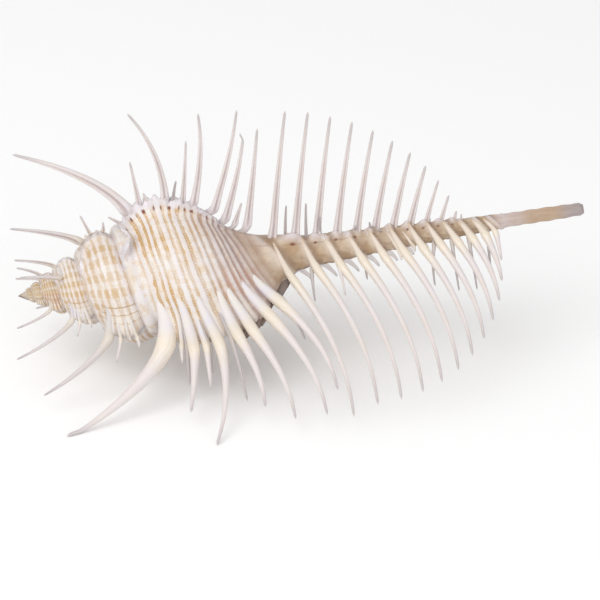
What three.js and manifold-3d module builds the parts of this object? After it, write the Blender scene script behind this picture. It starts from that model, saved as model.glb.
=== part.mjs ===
// A murex shell, grown as one piece and lying on the tips of two rows of its spines.
// Units are millimetres and degrees, +Z is up. The spire points to -X and the canal to +X.

import * as THREE from 'three';
import { mergeVertices } from 'three/addons/utils/BufferGeometryUtils.js';
import Module from 'manifold-3d';

const wasm = await Module();
wasm.setup();

// Driving dimensions
const shellLength = 131.6;
const whorlGrowth = 1.65;
const turns = 5;
const varicesPerTurn = 3;
const axisTilt = 8.8;
const restTurn = 30;
const lipAngle = -60;
const hiddenVarixLag = 10;
const varixHeight = 2.2;
const canalStart = 66;
const growthFadesFrom = 56;
const spireBulk = 0.32;
const spireBulkFade = 4;
const canalEndRadius = 1.5;
const apexPlace = new THREE.Vector3(-64.2, 1.0, 17.3);

// The whorl's outline at the lip: distance along the axis and distance from it.
// The first point is the suture above the whorl; one turn of growth carries it to the sixth.
const suture = [28.2, 10.0];
const outline = [
  suture,
  [30.0, 12.7],
  [33.7, 15.0],
  [37.5, 17.0],
  [42.0, 17.6],
  [suture[0] * whorlGrowth, suture[1] * whorlGrowth],
  [50.5, 15.2],
  [54.0, 13.1],
  [57.5, 9.6],
  [61.0, 6.0],
  [canalStart, 3.9],
  [73, 3.4],
  [82, 2.9],
  [92, 2.5],
  [103, 2.0],
  [115, 1.6],
  [shellLength, canalEndRadius],
];
const lowerSutureRow = 5;
const canalRow = 10;
const lastRow = outline.length - 1;

// How much of the varix's ridge each row of the outline takes on.
const spireRidge = [0, 0.5, 1, 1, 0.7, 0];
const bodyRidge = [0, 0.5, 1, 1, 1, 1, 0.9, 0.8, 0.6, 0.3];

// Columns of the surface between one varix and the next, in degrees of growth.
const columnOffsets = [0, 9, 30, 50, 70, 90, 111];
const columnsPerTurn = columnOffsets.length * varicesPerTurn;
const lastColumn = columnsPerTurn * turns;
const sectorAngle = 360 / varicesPerTurn;

// The direction of the shell's axis, its upper side and its face, once it lies at rest.
const tilt = THREE.MathUtils.degToRad(axisTilt);
const rest = THREE.MathUtils.degToRad(restTurn);
const alongAxis = new THREE.Vector3(
  Math.cos(tilt), Math.sin(tilt) * Math.sin(rest), Math.sin(tilt) * Math.cos(rest));
const upperSide = new THREE.Vector3(
  -Math.sin(tilt), Math.cos(tilt) * Math.sin(rest), Math.cos(tilt) * Math.cos(rest));
const faceSide = new THREE.Vector3(0, -Math.cos(rest), Math.sin(rest));

// The direction away from the axis at an angle from the face, and the way the shell grows there.
function outward(angle) {
  const a = THREE.MathUtils.degToRad(angle);
  return upperSide.clone().multiplyScalar(Math.sin(a)).addScaledVector(faceSide, Math.cos(a));
}

function growthWay(angle) {
  return outward(angle - 90);
}

function place(along, out, angle) {
  return apexPlace.clone().addScaledVector(alongAxis, along).addScaledVector(outward(angle), out);
}

// Growth: turn 0 is the lip and earlier growth has negative turns.
function sizeAt(turn) {
  return whorlGrowth ** turn;
}

// The varix on the hidden side sits a little further round than a third of a turn.
function angleAt(turn) {
  const phase = turn * varicesPerTurn;
  const third = Math.round(phase + 1);
  const lag = ((third % varicesPerTurn) + varicesPerTurn) % varicesPerTurn === 2 ? 1 : 0;
  return lipAngle - 360 * turn + hiddenVarixLag * lag * (1 - Math.abs(phase + 1 - third) * 2);
}

function turnOfColumn(column) {
  const sector = Math.floor(column / columnOffsets.length);
  const offset = columnOffsets[column % columnOffsets.length];
  return (sector * sectorAngle + offset) / 360 - turns;
}

function smoothStep(x) {
  const t = THREE.MathUtils.clamp(x, 0, 1);
  return t * t * (3 - 2 * t);
}

// A point of the outline as it was at some turn: scaled by growth, but not along the canal.
// The spire is stouter than the last turn, which slims down as it grows, away from its suture.
function outlineAt([along, out], turn) {
  const fixed = smoothStep((along - growthFadesFrom) / (canalStart - growthFadesFrom));
  const size = THREE.MathUtils.lerp(sizeAt(turn), 1, fixed);
  const slimmed = smoothStep((along - suture[0]) / spireBulkFade) * smoothStep(turn + 1);
  const bulk = 1 + spireBulk * (1 - fixed) * (1 - slimmed);
  return [along * size, out * size * bulk];
}

// The body: a strip that winds round the axis, each turn welded to the one before at the suture.
function shellBody() {
  const positions = [];
  const known = new Map();

  function vertex(column, row) {
    if (row === lowerSutureRow && column <= lastColumn - columnsPerTurn) {
      return vertex(column + columnsPerTurn, 0);
    }
    if (row >= canalRow && column === lastColumn) {
      return vertex(lastColumn - columnsPerTurn, row);
    }
    const key = column * outline.length + row;
    if (!known.has(key)) {
      const turn = turnOfColumn(column);
      const [along, out] = outlineAt(outline[row], turn);
      const onVarix = column % columnOffsets.length === 0;
      const lastTurn = column > lastColumn - columnsPerTurn;
      const ridge = (lastTurn ? bodyRidge : spireRidge)[row] ?? 0;
      const bump = onVarix ? varixHeight * ridge * sizeAt(turn) : 0;
      positions.push(place(along, out + bump, angleAt(turn)));
      known.set(key, positions.length - 1);
    }
    return known.get(key);
  }

  const triangles = [];
  for (let column = 0; column < lastColumn; column += 1) {
    const rows = column < lastColumn - columnsPerTurn ? lowerSutureRow : lastRow;
    for (let row = 0; row < rows; row += 1) {
      const a = vertex(column, row);
      const b = vertex(column + 1, row);
      const c = vertex(column + 1, row + 1);
      const d = vertex(column, row + 1);
      triangles.push([a, b, c], [a, c, d]);
    }
  }

  const apex = positions.push(place(0, 0, 0)) - 1;
  for (let column = 0; column < columnsPerTurn; column += 1) {
    triangles.push([vertex(column + 1, 0), vertex(column, 0), apex]);
  }
  for (let row = 0; row < lowerSutureRow; row += 1) {
    triangles.push([vertex(0, row), vertex(0, row + 1), apex]);
  }

  const canalEnd = positions.push(place(shellLength, 0, 0)) - 1;
  for (let column = lastColumn - columnsPerTurn; column < lastColumn; column += 1) {
    triangles.push([vertex(column, lastRow), vertex(column + 1, lastRow), canalEnd]);
  }

  triangles.push(...lipWall(vertex));
  return solidOf(positions, triangles);
}

// The flat wall across the end of the growth, from the lip down to the turn before.
function lipWall(vertex) {
  const corners = [];
  for (let row = lowerSutureRow; row <= canalRow; row += 1) {
    corners.push([lastColumn - columnsPerTurn, row]);
  }
  for (let row = canalRow - 1; row > 0; row -= 1) {
    corners.push([lastColumn, row]);
  }
  const flat = corners.map(([column, row]) => {
    const turn = turnOfColumn(column);
    const [along, out] = outlineAt(outline[row], turn);
    const bump = column === lastColumn ? varixHeight * bodyRidge[row] : 0;
    return new THREE.Vector2(along, out + bump);
  });
  const wanted = Math.sign(THREE.ShapeUtils.area(flat));
  return THREE.ShapeUtils.triangulateShape(flat, []).map((corner) => {
    const turned = Math.sign(THREE.ShapeUtils.area(corner.map((k) => flat[k]))) !== wanted;
    const order = turned ? [corner[0], corner[2], corner[1]] : corner;
    return order.map((k) => vertex(corners[k][0], corners[k][1]));
  });
}

function solidOf(positions, triangles) {
  const vertProperties = new Float32Array(positions.flatMap((p) => [p.x, p.y, p.z]));
  const triVerts = new Uint32Array(triangles.flat());
  return new wasm.Manifold(new wasm.Mesh({ numProp: 3, vertProperties, triVerts }));
}

// A closed solid through rings of points, each end closed by a fan.
function throughRings(rings) {
  const sides = rings[0].length;
  const positions = rings.flat();
  const triangles = [];
  for (let ring = 0; ring < rings.length - 1; ring += 1) {
    for (let side = 0; side < sides; side += 1) {
      const a = ring * sides + side;
      const b = ring * sides + (side + 1) % sides;
      triangles.push([a, b, b + sides], [a, b + sides, a + sides]);
    }
  }
  const last = (rings.length - 1) * sides;
  const startCentre = positions.push(middleOf(rings[0])) - 1;
  const endCentre = positions.push(middleOf(rings[rings.length - 1])) - 1;
  for (let side = 0; side < sides; side += 1) {
    const next = (side + 1) % sides;
    triangles.push([startCentre, next, side], [endCentre, last + side, last + next]);
  }
  return solidOf(positions, triangles);
}

function middleOf(points) {
  const sum = points.reduce((total, p) => total.add(p), new THREE.Vector3());
  return sum.divideScalar(points.length);
}

// A spine: a tapered tube along a bowed line, with a flared root sunk into the shell.
const rootFlare = 0.7;
const flareFade = 8;
const bowPlace = 0.55;

function spine({ from, reach, lean, bend, angle, rootRadius, tipRadius, sides, rings }) {
  const out = outward(angle);
  const start = place(from[0], from[1], angle);
  const tip = start.clone().addScaledVector(out, reach).addScaledVector(alongAxis, lean);
  const middle = start.clone().addScaledVector(out, reach * bowPlace);
  middle.addScaledVector(alongAxis, lean * bend);
  const curve = new THREE.QuadraticBezierCurve3(start, middle, tip);
  const sideways = growthWay(angle);
  const ringPoints = [];
  for (let ring = 0; ring <= rings; ring += 1) {
    const t = ring / rings;
    const flare = 1 + rootFlare * (1 - t) ** flareFade;
    const radius = THREE.MathUtils.lerp(rootRadius, tipRadius, t) * flare;
    const centre = curve.getPoint(t);
    const other = new THREE.Vector3().crossVectors(curve.getTangent(t), sideways);
    ringPoints.push(ringOf(centre, sideways, other, radius, radius, sides));
  }
  return throughRings(ringPoints);
}

function ringOf(centre, first, second, firstRadius, secondRadius, sides) {
  const points = [];
  for (let side = 0; side < sides; side += 1) {
    const a = (2 * Math.PI * side) / sides;
    points.push(centre.clone()
      .addScaledVector(first, firstRadius * Math.cos(a))
      .addScaledVector(second, secondRadius * Math.sin(a)));
  }
  return points;
}

// Where a distance along the grown outline meets the surface, as distance along and from the axis.
function surfaceAt(along, turn) {
  const grown = outline.map((point) => outlineAt(point, turn));
  const next = grown.findIndex((point) => point[0] >= along);
  const [low, high] = [grown[Math.max(next - 1, 0)], grown[Math.max(next, 1)]];
  const t = (along - low[0]) / (high[0] - low[0]);
  return [along, THREE.MathUtils.lerp(low[1], high[1], t)];
}

// Spines on a varix of the whorl: place along the outline, reach and lean, all at the lip's size.
const bigSpine = { rootRadius: 1.8, tipRadius: 0.45, sides: 6, rings: 5 };
const longSpine = { rootRadius: 1.1, tipRadius: 0.4, sides: 5, rings: 4 };
const shortSpine = { rootRadius: 0.8, tipRadius: 0.35, sides: 4, rings: 2 };
const thornSpine = { rootRadius: 0.7, tipRadius: 0.3, sides: 4, rings: 1 };
const lipVarix = [
  [34.5, 23.6, -26.9, 0.15, bigSpine],
  [37.2, 7.5, 0.5, 0.5, shortSpine],
  [39.0, 19.6, -3.0, 0.2, longSpine],
  [41.5, 14.4, -0.3, 0.5, shortSpine],
  [43.9, 28.9, -3.2, -0.9, longSpine],
  [47.1, 22.2, 5.6, 1.1, longSpine],
  [50.1, 27.4, 8.9, 1.0, longSpine],
  [54.3, 30.0, 11.8, 1.0, longSpine],
  [57.0, 26.9, 12.3, 1.0, longSpine],
];
const upperVarix = [
  [35.0, 25.7, -28.9, 0.1, bigSpine],
  [37.1, 17.1, -0.7, 0.5, shortSpine],
  [39.5, 6.5, -1.0, 0.5, shortSpine],
  [43.3, 30.6, -5.3, -0.6, longSpine],
  [44.9, 10.9, 2.9, 0.5, shortSpine],
  [47.6, 21.5, 4.5, 0.6, shortSpine],
  [49.8, 29.6, 6.6, 1.0, longSpine],
  [54.4, 31.8, 12.3, 0.7, longSpine],
  [57.1, 27.9, 10.2, 0.7, longSpine],
  [58.5, 8.5, 4.0, 0.5, shortSpine],
  [60.0, 31.5, 7.7, 0.6, longSpine],
];
const hiddenVarix = [
  [35.0, 25.0, -28.0, 0.15, bigSpine],
  [39.5, 20.0, -4.0, 0.2, longSpine],
  [44.0, 27.0, -3.0, -0.7, longSpine],
  [48.5, 25.0, 4.5, 0.8, longSpine],
  [52.5, 33.0, 7.0, 0.8, longSpine],
  [57.0, 36.5, 8.0, 0.8, longSpine],
  [60.6, 37.0, 9.0, 0.8, longSpine],
];

// The older varices: their place in the growth, and the reach and lean of their long spine.
const oldVarices = [
  [-1, 23.7, -29.3],
  [-4 / 3, 13.5, -32.6],
  [-5 / 3, 22.0, -30.0],
  [-2, 24.4, -39.8],
  [-2.22, 15.0, -29.0],
  [-2.5, 13.0, -35.0],
  [-2.6, 30.0, -39.0],
  [-3, 17.4, -39.5],
  [-10 / 3, 18.0, -30.0],
];
const oldShorts = [
  [38.0, 13.0, -3.9, 0.5, shortSpine],
  [42.8, 7.5, 0.8, 0.5, shortSpine],
];
const oldSpinePlace = 35;
const oldSpineBend = 0.2;
const shortsFrom = -2;
const varixRootDepth = 1;
const leastRoot = 0.5;
const leastTip = 0.3;

function varixSpines(list, turn) {
  const size = sizeAt(turn);
  const angle = angleAt(turn);
  return list.map(([along, reach, lean, bend, kind]) => {
    const [grownAlong] = outlineAt([along, 0], turn);
    const [, wall] = surfaceAt(grownAlong, turn);
    const from = [grownAlong, wall - varixRootDepth * size];
    const grown = { reach: (reach + varixRootDepth) * size, lean: lean * size, bend, angle, from };
    const rootRadius = Math.max(kind.rootRadius * size, leastRoot);
    const tipRadius = Math.max(kind.tipRadius * size, leastTip);
    return spine({ ...kind, ...grown, rootRadius, tipRadius });
  });
}

// Spines along the canal: evenly set, long near the body and dying away towards the end.
const canalRows = [
  {
    turn: 0, first: 61.5, last: 110.8, count: 12, swell: 0.3, shorts: 5, peak: 68, end: 115.5,
    reach: 38.7, fade: 2.4, lean: 0.27, leanGain: 0, bend: 1.1,
  },
  {
    turn: -1 / 3, first: 59.6, last: 101.2, count: 11, swell: 0.24, shorts: 8, peak: 62, end: 103,
    reach: 31.5, fade: 1.8, lean: 0.24, leanGain: 0.35, bend: 0.5,
  },
  {
    turn: -2 / 3, first: 60.5, last: 99, count: 9, swell: 0.24, shorts: 4, peak: 61, end: 102,
    reach: 33.5, fade: 2.2, lean: 0.22, leanGain: 0.1, bend: 0.8,
  },
];
const stoutFrom = 12;
const longestShort = 9.5;
const leastShort = 3;
const rootDepth = 2.2;
const leastRootPlace = 0.3;

function canalSpines(row) {
  const alongAt = (index) => {
    const t = index / (row.count - 1);
    return THREE.MathUtils.lerp(row.first, row.last, t + row.swell * t * (1 - t));
  };
  const spines = [];
  for (let index = 0; index < row.count; index += 1) {
    const along = alongAt(index);
    const past = Math.max(along - row.peak, 0) / (row.end - row.peak);
    const length = row.reach * (1 - past ** row.fade);
    const lean = (row.lean + row.leanGain * past * past) * length;
    const kind = length > stoutFrom ? longSpine : shortSpine;
    spines.push(canalSpine(along, row, length, lean, kind));
  }
  for (let index = 0; index < row.shorts; index += 1) {
    const length = THREE.MathUtils.lerp(longestShort, leastShort, index / row.shorts);
    spines.push(canalSpine(alongAt(index + 0.5), row, length, 0, thornSpine));
  }
  return spines;
}

function canalSpine(along, { turn, bend }, length, lean, kind) {
  const [, wall] = surfaceAt(along, turn);
  const from = [along, Math.max(wall - rootDepth, leastRootPlace)];
  return spine({ ...kind, from, reach: length + rootDepth, lean, bend, angle: angleAt(turn) });
}

// The hollow of the last half turn, open at the lip and lifting clear of the wall beyond it.
const aperture = { along: 43.5, out: 11.7, halfLength: 9.5, halfWidth: 4.6 };
const apertureDepth = 0.45;
const apertureRunOut = 0.1;
const apertureLift = 40;
const apertureEndSize = 0.5;
const apertureRings = 11;
const apertureSides = 12;

function apertureHollow() {
  const rings = [];
  for (let ring = 0; ring < apertureRings; ring += 1) {
    const turn = THREE.MathUtils.lerp(-apertureDepth, apertureRunOut, ring / (apertureRings - 1));
    const size = sizeAt(turn) * (ring === 0 ? apertureEndSize : 1);
    const angle = lipAngle - 360 * turn;
    const lift = Math.max(turn, 0) * apertureLift;
    const centre = place(aperture.along * sizeAt(turn), aperture.out * sizeAt(turn) + lift, angle);
    const [length, width] = [aperture.halfLength * size, aperture.halfWidth * size];
    rings.push(ringOf(centre, alongAxis, outward(angle), length, width, apertureSides));
  }
  return throughRings(rings);
}

function boxSolid(width, height, depth, matrix) {
  const box = new THREE.BoxGeometry(width, height, depth);
  box.deleteAttribute('normal');
  box.deleteAttribute('uv');
  const merged = mergeVertices(box.applyMatrix4(matrix));
  const vertProperties = new Float32Array(merged.attributes.position.array);
  const triVerts = new Uint32Array(merged.index.array);
  return new wasm.Manifold(new wasm.Mesh({ numProp: 3, vertProperties, triVerts }));
}

// The narrow slit along the canal's under side.
const slit = { start: 57, overrun: 2, angle: -115, width: 1.0, floor: 0.4, depth: 8 };

function canalSlit() {
  const length = shellLength + slit.overrun - slit.start;
  const out = outward(slit.angle);
  const across = new THREE.Vector3().crossVectors(alongAxis, out);
  const centre = place(slit.start + length / 2, slit.floor + slit.depth / 2, slit.angle);
  const matrix = new THREE.Matrix4().makeBasis(alongAxis, out, across).setPosition(centre);
  return boxSolid(length, slit.depth, slit.width, matrix);
}

// The surface that the shell lies on wears the lowest spine tips flat.
function belowFloor() {
  const reach = 300;
  return boxSolid(reach, reach, reach, new THREE.Matrix4().makeTranslation(0, 0, -reach / 2));
}

function murexShell() {
  const spines = [
    ...varixSpines(lipVarix, 0),
    ...varixSpines(upperVarix, -1 / varicesPerTurn),
    ...varixSpines(hiddenVarix, -2 / varicesPerTurn),
    ...canalRows.flatMap(canalSpines),
  ];
  for (const [turn, reach, lean] of oldVarices) {
    const shorts = turn < shortsFrom ? [] : oldShorts;
    spines.push(...varixSpines([[oldSpinePlace, reach, lean, oldSpineBend, bigSpine], ...shorts], turn));
  }
  const spiny = spines.reduce((whole, next) => whole.add(next), shellBody());
  return spiny.subtract(apertureHollow()).subtract(canalSlit()).subtract(belowFloor());
}

function meshOf(solid, name, material) {
  const { vertProperties, triVerts } = solid.getMesh();
  const geometry = new THREE.BufferGeometry();
  geometry.setAttribute('position', new THREE.BufferAttribute(vertProperties, 3));
  geometry.setIndex(new THREE.BufferAttribute(triVerts, 1));
  geometry.computeVertexNormals();
  const mesh = new THREE.Mesh(geometry, material);
  mesh.name = name;
  return mesh;
}

const porcelain = new THREE.MeshStandardMaterial({ color: 0xeee3d2, roughness: 0.45, metalness: 0 });
const shell = new THREE.Group();
shell.add(meshOf(murexShell(), 'murex_shell', porcelain));

export default shell;
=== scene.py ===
# %% [markdown]
# # A comb-like murex shell
# The shell grew as one piece: a coiled spire, a round body whorl, a long straight canal, and three
# rows of spines. A snail lays its shell down at the lip only, so the whole form is one outline that
# turns round an axis while it grows. This lesson builds it the same way, with numpy: every surface
# is a function of two numbers, how far the growth has come and how far along the outline we are.

# %% Load the measured frame
import math
from functools import partial, reduce
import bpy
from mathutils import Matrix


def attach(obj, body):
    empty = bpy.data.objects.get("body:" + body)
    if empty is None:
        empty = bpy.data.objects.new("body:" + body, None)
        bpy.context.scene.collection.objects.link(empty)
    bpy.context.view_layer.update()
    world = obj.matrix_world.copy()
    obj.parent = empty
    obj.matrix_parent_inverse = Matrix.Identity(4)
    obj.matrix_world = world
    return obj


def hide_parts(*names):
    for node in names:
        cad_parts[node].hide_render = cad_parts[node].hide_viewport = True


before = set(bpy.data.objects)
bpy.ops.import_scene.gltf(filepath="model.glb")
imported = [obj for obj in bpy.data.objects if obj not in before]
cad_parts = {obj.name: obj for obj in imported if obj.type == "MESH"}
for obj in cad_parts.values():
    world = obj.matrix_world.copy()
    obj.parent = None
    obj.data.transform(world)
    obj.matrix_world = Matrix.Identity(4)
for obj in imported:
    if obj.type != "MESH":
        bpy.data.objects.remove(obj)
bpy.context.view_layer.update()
from types import SimpleNamespace
import bpy
import numpy as np

MM = 0.001
NODE = "murex_shell"

# %% [markdown]
# The driving sizes are the same as those of the measured solid, in millimetres: the shell's length,
# how much it grows in one turn, how its axis lies at rest, and the outline of the whorl at the lip.

# %% Driving sizes
LENGTH = 131.6
GROWTH = 1.65
TURNS = 6
VARICES = 3
LIP_ANGLE = -60.0
HIDDEN_LAG = 10.0
AXIS_TILT = math.radians(8.8)
REST_TURN = math.radians(30.0)
APEX = np.array([-64.2, 1.0, 17.3])
VARIX_HEIGHT = 2.2
CANAL_START = 66.0
GROWTH_FADES_FROM = 56.0
SPIRE_BULK = 0.32
SPIRE_BULK_FADE = 4.0
SUTURE = (28.2, 10.0)
LOWER_SUTURE = (SUTURE[0] * GROWTH, SUTURE[1] * GROWTH)
OUTLINE = np.array([
    SUTURE, (30.0, 12.7), (33.7, 15.0), (37.5, 17.0), (42.0, 17.6), LOWER_SUTURE, (50.5, 15.2),
    (54.0, 13.1), (57.5, 9.6), (61.0, 6.0), (CANAL_START, 3.9), (73.0, 3.4), (82.0, 2.9),
    (92.0, 2.5), (103.0, 2.0), (115.0, 1.6), (LENGTH, 1.5)])
LOWER_SUTURE_POINT = 5
CANAL_POINT = 10

ALONG = np.array([math.cos(AXIS_TILT), math.sin(AXIS_TILT) * math.sin(REST_TURN),
                  math.sin(AXIS_TILT) * math.cos(REST_TURN)])
UPPER = np.array([-math.sin(AXIS_TILT), math.cos(AXIS_TILT) * math.sin(REST_TURN),
                  math.cos(AXIS_TILT) * math.cos(REST_TURN)])
FACE = np.array([0.0, -math.cos(REST_TURN), math.sin(REST_TURN)])
print("axis of the shell", ALONG.round(3))

# %% [markdown]
# Three small functions carry every point of the shell. Growth is measured in turns, zero at the lip
# and negative for the older shell. Size grows by a constant factor a turn, which is what makes the
# spiral. The angle round the axis follows the growth, with a small lag at the hidden row of spines.

# %% Growth and place
def size_at(turn):
    """The growth factor raised to the number of turns, so one at the lip and less before it."""
    return GROWTH ** turn


def angle_at(turn):
    """Degrees round the axis: the lip's angle less a full circle a turn, plus the hidden row's lag."""
    phase = np.asarray(turn, float) * VARICES + 1
    third = np.round(phase)
    lag = np.where(np.mod(third, VARICES) == 2, HIDDEN_LAG, 0.0)
    return LIP_ANGLE - 360.0 * np.asarray(turn, float) + lag * (1 - 2 * np.abs(phase - third))


def outward(angle):
    """Unit vectors away from the axis: the face's way times cosine plus the upper way times sine."""
    a = np.radians(np.asarray(angle, float))[..., None]
    return np.cos(a) * FACE + np.sin(a) * UPPER


def place(along, out, angle):
    """Apex plus the distance along the axis plus the distance out from it, in millimetres."""
    along = np.asarray(along, float)[..., None]
    return APEX + along * ALONG + np.asarray(out, float)[..., None] * outward(angle)


print("lip at", place(42.5, 17.6, LIP_ANGLE).round(1))

# %% [markdown]
# The outline was set down as a few points. A smooth curve through them comes from cubic Hermite
# pieces, whose slopes are the mean of the slopes on either side, as a spline ruler would bend.

# %% A smooth outline
def chord_lengths(points):
    """Running distance along a row of points, starting at zero."""
    steps = np.linalg.norm(np.diff(points, axis=0), axis=1)
    return np.concatenate([[0.0], np.cumsum(steps)])


def hermite(knots, values, at):
    """Cubic Hermite curve through values at the knots, with slopes from the neighbouring points."""
    slopes = np.gradient(values, knots, axis=0)
    k = np.clip(np.searchsorted(knots, at, side="right") - 1, 0, len(knots) - 2)
    h = (knots[k + 1] - knots[k])
    t = (at - knots[k]) / h
    shape = t.shape + (1,) * (values.ndim - 1)
    t, h = t.reshape(shape), h.reshape(shape)
    a = (2 * t ** 3 - 3 * t ** 2 + 1) * values[k] + (t ** 3 - 2 * t ** 2 + t) * h * slopes[k]
    b = (3 * t ** 2 - 2 * t ** 3) * values[k + 1] + (t ** 3 - t ** 2) * h * slopes[k + 1]
    return a + b


WIDTHS = chord_lengths(OUTLINE)
SUTURE_WIDTH = WIDTHS[LOWER_SUTURE_POINT]
CANAL_WIDTH = WIDTHS[CANAL_POINT]
FULL_WIDTH = WIDTHS[-1]


def smooth_step(x):
    """Zero below zero, one above one, and three x squared less two x cubed between."""
    x = np.clip(x, 0.0, 1.0)
    return x * x * (3 - 2 * x)


def plateau(x, start, rise, end, fall):
    """Zero up to start, one after its rise, and zero again once it has fallen from the end."""
    return smooth_step((x - start) / rise) * (1 - smooth_step((x - end) / fall))


def bell(x, spread):
    """One at zero and falling evenly both ways: e to the minus square of x over the spread."""
    return np.exp(-(x / spread) ** 2)


def unit(vectors):
    """Each vector divided by its own length."""
    return vectors / np.linalg.norm(vectors, axis=-1, keepdims=True)


def grown_outline(width, turn):
    """The outline at a width along it, scaled by growth, which fades out along the canal.

    The spire is stouter by its bulk; the last turn slims down as it grows, away from its suture.
    """
    point = hermite(WIDTHS, OUTLINE, np.asarray(width, float))
    fixed = smooth_step((point[..., 0] - GROWTH_FADES_FROM) / (CANAL_START - GROWTH_FADES_FROM))
    size = size_at(turn) * (1 - fixed) + fixed
    slimmed = smooth_step((point[..., 0] - SUTURE[0]) / SPIRE_BULK_FADE)
    slimmed = slimmed * smooth_step(np.asarray(turn, float) + 1)
    bulk = 1 + SPIRE_BULK * (1 - fixed) * (1 - slimmed)
    return point[..., 0] * size, point[..., 1] * size * bulk, size


def width_of(along):
    """The width at which the outline reaches a distance along the axis."""
    return np.interp(along, OUTLINE[:, 0], WIDTHS)


def grown_width(along, turn):
    """The width at which the outline, as it was at some turn, reaches a distance along the axis."""
    fine = np.linspace(0.0, FULL_WIDTH, 800)
    return np.interp(along, grown_outline(fine, turn)[0], fine)


print("outline is", round(float(FULL_WIDTH), 1), "mm long, suture at", round(float(SUTURE_WIDTH), 1))

# %% [markdown]
# What makes the surface rich is low relief that grew with it: spiral cords that run round the whorl,
# faint ribs across them, and a varix, a thick old lip, three times a turn. On the real shell the
# cords are a rhythm along the outline, so a cosine of the width along the outline gives them, and
# they stay in register from turn to turn because the width is always counted at the lip's size.
# The upper varix of the last turn, which faces the light, also has a frilled collar.

# %% Relief: cords, ribs and varices
CORD_PITCH = 1.95
CORD_WARP = 0.22
OLD_CORDS = 1.7
CORD_HEIGHT = 0.36
THREAD_HEIGHT = 0.12
RIB_HEIGHT = 0.3
RIBS_PER_SECTOR = 3
RISE_BEFORE = 15.0
FALL_AFTER = 6.2
BAND_END = 6.5
SUTURE_LEAD = 48.0
LEAD_END = 9.5
CRUMPLE_HEIGHT = 0.26
COLLAR_HEIGHT = 2.9
COLLAR_BEFORE = 6.0
COLLAR_AFTER = 4.2
COLLAR_ENDS = (1.5, 29.0)
CORDS_BACK = 4.4


def varix_distance(turn, width):
    """Degrees of growth from the nearest varix (negative before it) and that varix's number.

    A varix sweeps forward as it nears the suture above it, by its lead at that width.
    """
    lead = SUTURE_LEAD * (1 - smooth_step(width / LEAD_END))
    phase = (np.asarray(turn, float) - lead / 360.0) * VARICES
    nearest = np.round(phase)
    return (phase - nearest) * 360.0 / VARICES, nearest


def cord_cosine(turn, width):
    """A cosine of the width, warped a little so that every third cord is broader.

    The cords of the old whorls are fewer and broader, so their pitch is longer.
    """
    bent = width + CORD_WARP * np.sin(2 * np.pi * width / (3 * CORD_PITCH))
    pitch = CORD_PITCH * np.where(np.asarray(turn, float) < -1, OLD_CORDS, 1.0)
    return np.cos(2 * np.pi * bent / pitch)


def cord_wave(turn, width):
    """One on the flat crest of a cord and zero in its groove, with smooth sides."""
    return smooth_step((cord_cosine(turn, width) + 0.85) / 0.9)


def groove_thread(turn, width):
    """One on the fine thread that runs along the middle of each groove."""
    return smooth_step((-cord_cosine(turn, width) - 0.8) / 0.18)


def old_edge(turn, width):
    """How fully the lower suture of the old whorls still pins the surface down, from 0 to 1."""
    released = smooth_step((turn + 1) * 360.0 / 25.0)
    near = 1 - smooth_step(np.abs(SUTURE_WIDTH - width) / 1.6)
    return near * (1 - released)


def cords_and_ribs(turn, width, wave, body, base):
    """Flat cords with a thread in each groove, faint on the smooth band, plus ribs across them."""
    thread = groove_thread(turn, width)
    band = 0.3 + 0.7 * smooth_step((width - BAND_END) / 4)
    smooth_base = base * (1 - smooth_step((turn + 1) / 0.3))
    degrees, _ = varix_distance(turn, width)
    cut = 1 - plateau(degrees, -9, 6, CORDS_BACK, 1.5)
    cords = (CORD_HEIGHT * wave + THREAD_HEIGHT * thread) * body * band * (1 - smooth_base) * cut
    phase = np.mod(turn * VARICES, 1.0)
    ribs = RIB_HEIGHT * np.cos(2 * np.pi * RIBS_PER_SECTOR * phase) * np.sin(np.pi * phase) ** 2
    ribs = ribs * (1 + 2 * smooth_step((-turn - 2) / 1.5))
    return cords + ribs * body * (1 - base) * smooth_step(width / 4)


def collar(degrees, number, width):
    """The frilled collar of the upper varix: a narrow ridge whose edge rises and dips unevenly."""
    spread = np.where(degrees < 0, COLLAR_BEFORE, COLLAR_AFTER)
    ends = plateau(width, COLLAR_ENDS[0], 3, COLLAR_ENDS[1] - 9, 9)
    frill = 0.72 + 0.16 * np.sin(3.3 * width + 0.5 * degrees) + 0.16 * np.sin(1.3 * width - 0.3 * degrees)
    return COLLAR_HEIGHT * frill * bell(degrees, spread) * ends * (number == -1)


def varices(turn, width, wave, body, base):
    """A ridge that rises slowly, falls fast and is crumpled on the side that it falls to."""
    degrees, number = varix_distance(turn, width)
    narrow = 0.32 + 0.68 * smooth_step(width / LEAD_END)
    spread = np.where(degrees < 0, RISE_BEFORE, FALL_AFTER) * narrow
    ridge = bell(degrees, spread) * (0.3 + 0.7 * narrow)
    last = number > -VARICES
    shape = smooth_step(width / 2.5) * np.where(last, 1.0, smooth_step((SUTURE_WIDTH - width) / 5))
    fade = 1 - 0.92 * smooth_step((width - 28) / 12)
    shape = shape * np.where(last, fade, 1 - base)
    wrinkle = np.sin(2.3 * width + 1.7 * np.sin(0.5 * degrees + width)) * np.sin(
        0.9 * degrees + 2.1 * np.sin(1.1 * width)) + 0.6 * np.sin(5.3 * width + degrees)
    wrinkle = CRUMPLE_HEIGHT * wrinkle * bell(degrees - 2.5, 5.0)
    high = VARIX_HEIGHT * ridge * (0.96 + 0.05 * wave * body) + wrinkle
    return (high + collar(degrees, number, width)) * shape


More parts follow.
